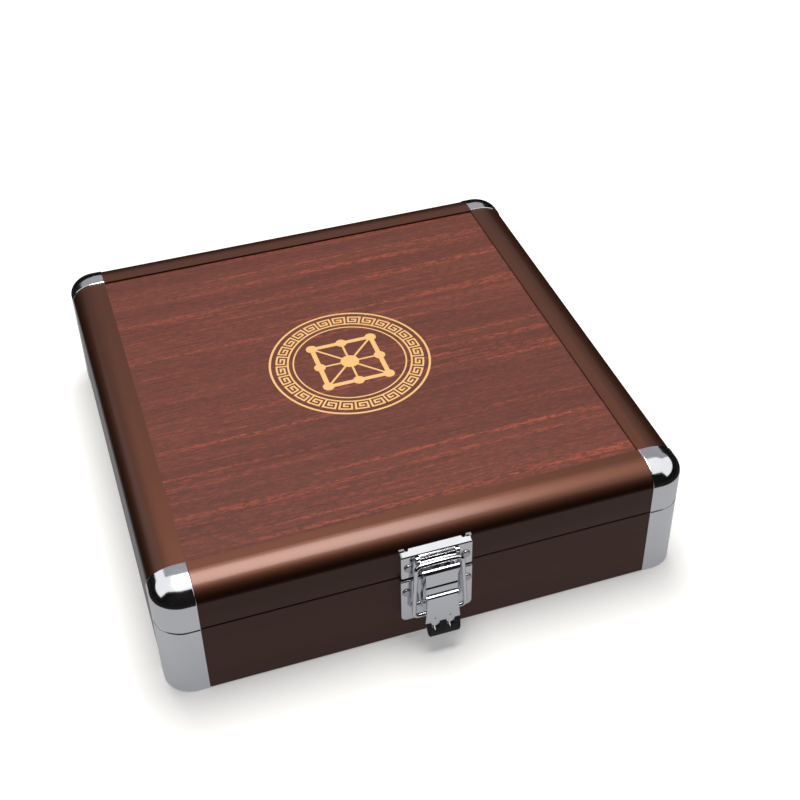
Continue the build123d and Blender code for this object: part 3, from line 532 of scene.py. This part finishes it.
palace_half, palace_line, palace_edge = 0.0140, 0.0010, 0.0022
bpy.ops.object.select_all(action="DESELECT")
bpy.ops.mesh.primitive_circle_add(vertices=8, radius=palace_half, fill_type="TRIFAN")
palace = bpy.context.object
bpy.ops.object.mode_set(mode="EDIT")
bpy.ops.mesh.select_mode(type="VERT")
bpy.ops.mesh.select_all(action="DESELECT")
bpy.ops.object.mode_set(mode="OBJECT")
for point in palace.data.vertices:
    on_diagonal = abs(abs(point.co.x) - abs(point.co.y)) < 1e-6
    point.select = on_diagonal and point.co.length > 1e-6
bpy.ops.object.mode_set(mode="EDIT")
bpy.ops.transform.resize(value=(2 ** 0.5, 2 ** 0.5, 1), center_override=(0, 0, 0))
bpy.ops.mesh.select_mode(type="FACE")
bpy.ops.mesh.select_all(action="SELECT")
bpy.ops.mesh.inset(thickness=palace_line / 2, use_individual=True)
bpy.ops.mesh.delete(type="FACE")
bpy.ops.object.mode_set(mode="OBJECT")
stamp(palace)
settle(palace, "print_palace", "lid", foil)

bpy.ops.object.select_all(action="DESELECT")
border_radius = (palace_half + palace_edge / 2) * 2 ** 0.5
bpy.ops.mesh.primitive_circle_add(
    vertices=4, radius=border_radius, fill_type="NGON", rotation=(0, 0, pi / 4)
)
border = bpy.context.object
bpy.ops.object.mode_set(mode="EDIT")
bpy.ops.mesh.inset(thickness=palace_edge)
bpy.ops.mesh.delete(type="FACE")
bpy.ops.object.mode_set(mode="OBJECT")
stamp(border, 1)
settle(border, "print_palace_border", "lid", foil)

centre_spot, other_spot = 0.0042, 0.0026
for step_x in (-1, 0, 1):
    for step_y in (-1, 0, 1):
        bpy.ops.object.select_all(action="DESELECT")
        spot_radius = centre_spot if step_x == step_y == 0 else other_spot
        bpy.ops.mesh.primitive_circle_add(
            vertices=48, radius=spot_radius, fill_type="NGON",
            location=(step_x * palace_half, step_y * palace_half, 0),
        )
        spot = bpy.context.object
        stamp(spot, 2)
        settle(spot, "print_point_%d_%d" % (step_x + 2, step_y + 2), "lid", foil)

# ------------------------------------------------------- boards of the case
# Bottom board in a plain dark laminate, and inner boards of raw fibreboard that
# stand behind the rails. They keep their CAD shapes.
bottom, bottom_nodes, bottom_shader = new_finish("bottom_laminate_brown")
bottom_links = bottom.node_tree.links
bottom_grain = grain_node(bottom_nodes, (6.0, 260.0, 6.0), 3.0, 0.4)
bottom_amount = clipped(bottom_nodes, bottom_links, bottom_grain.outputs[0], 0.35, 0.7)
bottom_dark, bottom_light = (0.060, 0.028, 0.020, 1), (0.110, 0.048, 0.034, 1)
bottom_tone = mix_colours(bottom_nodes, bottom_links, bottom_amount, bottom_dark, bottom_light)
bottom_links.new(bottom_tone, bottom_shader.inputs["Base Color"])
bottom_shader.inputs["Roughness"].default_value = 0.55
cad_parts["bottom_panel"].material_slots[0].material = bottom

board, board_nodes, board_shader = new_finish("raw_fibreboard")
board_links = board.node_tree.links
fluff = grain_node(board_nodes, (900.0, 900.0, 2600.0), 4.0, 0.5)
board_amount = clipped(board_nodes, board_links, fluff.outputs[0], 0.3, 0.7)
board_dark, board_light = (0.23, 0.14, 0.075, 1), (0.36, 0.23, 0.13, 1)
board_tone = mix_colours(board_nodes, board_links, board_amount, board_dark, board_light)
board_links.new(board_tone, board_shader.inputs["Base Color"])
board_relief = node(board_nodes, "ShaderNodeBump", {"Strength": 0.3, "Distance": 0.00005})
board_links.new(fluff.outputs[0], board_relief.inputs["Height"])
board_links.new(board_relief.outputs[0], board_shader.inputs["Normal"])
board_shader.inputs["Roughness"].default_value = 0.85
for half in ("base_wall_board_", "lid_wall_board_"):
    for side in ("front", "back", "left", "right"):
        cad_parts[half + side].material_slots[0].material = board

# ---------------------------------------------------------- flocked linings
# Short-pile flocked fabric, glued flat on the wall boards and the bottom board.
# Each is a thin sheet with softened edges, a slightly uneven pile and painted sheen in its colour.
flock, flock_nodes, flock_shader = new_finish("charcoal_flock")
flock_links = flock.node_tree.links
pile = node(flock_nodes, "ShaderNodeTexNoise", {"Scale": 2600.0, "Detail": 3.0, "Roughness": 0.7})
nap_sheen_noise = node(flock_nodes, "ShaderNodeTexNoise", {"Scale": 28.0, "Detail": 3.0, "Distortion": 0.6})
flock_at = node(flock_nodes, "ShaderNodeTexCoord")
flock_links.new(flock_at.outputs["Object"], pile.inputs["Vector"])
flock_links.new(flock_at.outputs["Object"], nap_sheen_noise.inputs["Vector"])
# Painted sheen: broad patches, lighter and darker where the nap catches the light, and painted
# glints of lighter pile tips.
painted_shade_pile, painted_sheen_pile = (0.020, 0.020, 0.022, 1), (0.034, 0.033, 0.036, 1)
painted_glint_tip = (0.075, 0.074, 0.080, 1)
painted_sheen_amount = clipped(flock_nodes, flock_links, nap_sheen_noise.outputs[0], 0.35, 0.65)
flock_with_painted_sheen = mix_colours(flock_nodes, flock_links, painted_sheen_amount, painted_shade_pile, painted_sheen_pile)
painted_glint_amount = clipped(flock_nodes, flock_links, pile.outputs[0], 0.45, 0.75, 0.6)
flock_with_painted_glints = mix_colours(flock_nodes, flock_links, painted_glint_amount, flock_with_painted_sheen, painted_glint_tip)
flock_links.new(flock_with_painted_glints, flock_shader.inputs["Base Color"])
flock_relief = node(flock_nodes, "ShaderNodeBump", {"Strength": 0.5, "Distance": 0.00012})
flock_links.new(pile.outputs[0], flock_relief.inputs["Height"])
flock_links.new(flock_relief.outputs[0], flock_shader.inputs["Normal"])
flock_shader.inputs["Roughness"].default_value = 0.95
flock_shader.inputs["Specular IOR Level"].default_value = 0.15
flock_shader.inputs["Sheen Weight"].default_value = 0.35
flock_shader.inputs["Sheen Roughness"].default_value = 0.5

walls = ("front", "back", "left", "right")
linings = [("base_lining_" + side, "base_wall_board_" + side, "case_base") for side in walls]
linings += [("lid_lining_" + side, "lid_wall_board_" + side, "lid") for side in walls]
linings += [("floor_lining", "bottom_panel", "case_base")]
for node_name, glued_to, body in linings:
    low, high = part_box(node_name)
    size = high - low
    bpy.ops.object.select_all(action="DESELECT")
    bpy.ops.mesh.primitive_cube_add(size=1.0, location=(low + high) / 2)
    cloth = bpy.context.object
    cloth.scale = size
    bpy.ops.object.transform_apply(location=True, rotation=True, scale=True)
    modify(cloth, "BEVEL", width=0.3 * min(size), segments=3, limit_method="NONE")
    only(cloth)
    bpy.ops.object.shade_smooth_by_angle(angle=radians(50))
    settle(cloth, node_name + "_fabric", body, flock)
    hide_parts(node_name)

# -------------------------------------------------------------- pad in the lid
# Thin foam pad in the same flocked fabric, glued under the lid panel. It is full
# in the middle, and its edge is pulled in to the panel all round.
low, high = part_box("lid_pad")
pad_edge, crown_reach, pull_reach, pull_most = 0.0012, 0.012, 0.006, 0.0006
bpy.ops.object.select_all(action="DESELECT")
bpy.ops.mesh.primitive_cube_add(size=1.0, location=(low + high) / 2)
pad = bpy.context.object
pad.scale = high - low
bpy.ops.object.transform_apply(location=True, rotation=True, scale=True)
bpy.ops.object.mode_set(mode="EDIT")
bpy.ops.mesh.select_all(action="SELECT")
bpy.ops.mesh.subdivide(number_cuts=47)
bpy.ops.object.mode_set(mode="OBJECT")
half_wide, half_deep = (high.x - low.x) / 2, (high.y - low.y) / 2
for point in pad.data.vertices:
    to_edge = min(half_wide - abs(point.co.x), half_deep - abs(point.co.y))
    rise = min(1.0, max(0.0, to_edge / crown_reach))
    crown = pad_edge + (high.z - low.z - pad_edge) * (1 - (1 - rise) ** 2) ** 0.5
    down = (high.z - point.co.z) / (high.z - low.z)
    point.co.z = high.z - down * crown
    along = 1 - min(abs(point.co.x) / half_wide, abs(point.co.y) / half_deep) ** 2
    pull = pull_most * along * down * max(0.0, 1 - to_edge / pull_reach)
    if half_wide - abs(point.co.x) < half_deep - abs(point.co.y):
        point.co.x -= pull * (1 if point.co.x > 0 else -1)
    else:
        point.co.y -= pull * (1 if point.co.y > 0 else -1)
only(pad)
bpy.ops.object.shade_smooth_by_angle(angle=radians(60))
settle(pad, "lid_pad_cushion", "lid", flock)
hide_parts("lid_pad")

# -------------------------------------------------------------- latch, rivets
# Pressed and chromed steel: keeper with its claws on the lid, base plate with
# two ears, lever and wire bail, held with plated rivets.
latch_chrome = plated("latch_chrome", (0.80, 0.805, 0.835), 0.09, 0.16, 0.05)
for name in ("keeper_plate", "latch_base_plate", "latch_lever", "latch_bail", "lever_pin"):
    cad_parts[name].material_slots[0].material = latch_chrome
rivet_plating = plated("rivet_plating", (0.52, 0.525, 0.54), 0.12, 0.22, 0.05)
for name in ("keeper_rivets", "latch_plate_rivets", "hinge_base_rivets", "hinge_lid_rivets"):
    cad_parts[name].material_slots[0].material = rivet_plating

# -------------------------------------------------------------------- hinges
# Two five-knuckle butt hinges of nickelled steel on the back, each with a base
# leaf, a lid leaf and its pin.
hinge_nickel = plated("hinge_nickel", (0.50, 0.47, 0.42), 0.20, 0.32, 0.05)
hinge_leaves = [
    "hinge_%s_leaf_%s" % (half, side)
    for half in ("base", "lid")
    for side in ("left", "right")
]
for name in hinge_leaves + ["hinge_pins"]:
    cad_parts[name].material_slots[0].material = hinge_nickel

low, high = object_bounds()
